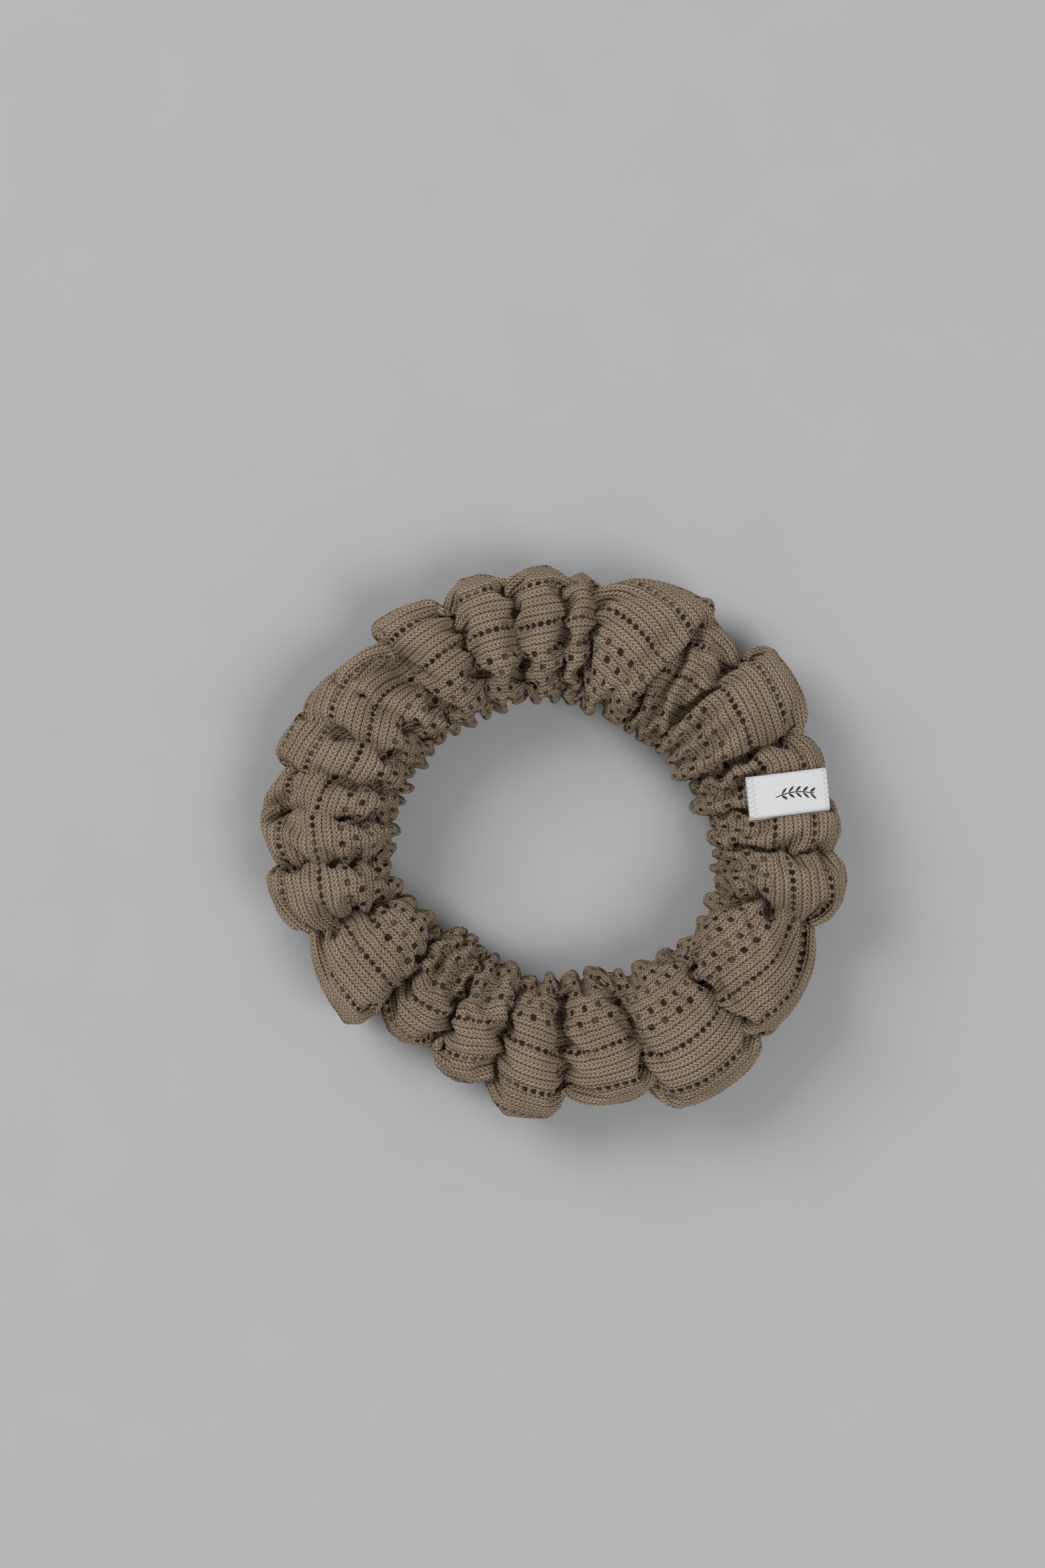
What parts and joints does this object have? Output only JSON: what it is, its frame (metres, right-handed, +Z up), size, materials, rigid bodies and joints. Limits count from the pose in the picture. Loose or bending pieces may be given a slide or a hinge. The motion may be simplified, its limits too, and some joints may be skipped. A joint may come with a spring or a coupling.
{
  "type": "scrunchie",
  "caption": "Gathered knit hair scrunchie: a pleated fabric sleeve closed into a ring round a flat elastic, with a folded ribbon label in its seam.",
  "frame": {"origin": "on the resting surface, under the middle of the ring's box", "axes": "+X across the ring towards the label, +Z up through the hole"},
  "size_m": [0.1084, 0.1025, 0.022],
  "materials": {
    "knit": "matte",
    "braided_elastic": "matte",
    "sewing_thread": "satin",
    "satin_ribbon": "satin"
  },
  "bodies": {
    "far_half": {"sleeve_far_half": "knit", "elastic_middle": "braided_elastic", "long_seam_thread_far": "sewing_thread"},
    "label_half": {"sleeve_label_half": "knit", "elastic_inner_end": "braided_elastic", "elastic_outer_end": "braided_elastic", "long_seam_thread_label": "sewing_thread", "elastic_lap_thread": "sewing_thread", "closing_seam_thread": "sewing_thread"},
    "label": {"label": "satin_ribbon"}
  },
  "joints": [
    {"name": "stretch", "type": "slide", "parent": "far_half", "child": "label_half", "axis": [1, 0, 0], "range_m": [0, 0.08], "stiffness_N_per_m": 75},
    {"name": "label_flap", "type": "hinge", "parent": "label_half", "child": "label", "pos_m": [0.04201, 0.00529, 0.0174], "axis": [0.9743, 0.1196, -0.1908], "range_deg": [0, 120]}
  ]
}
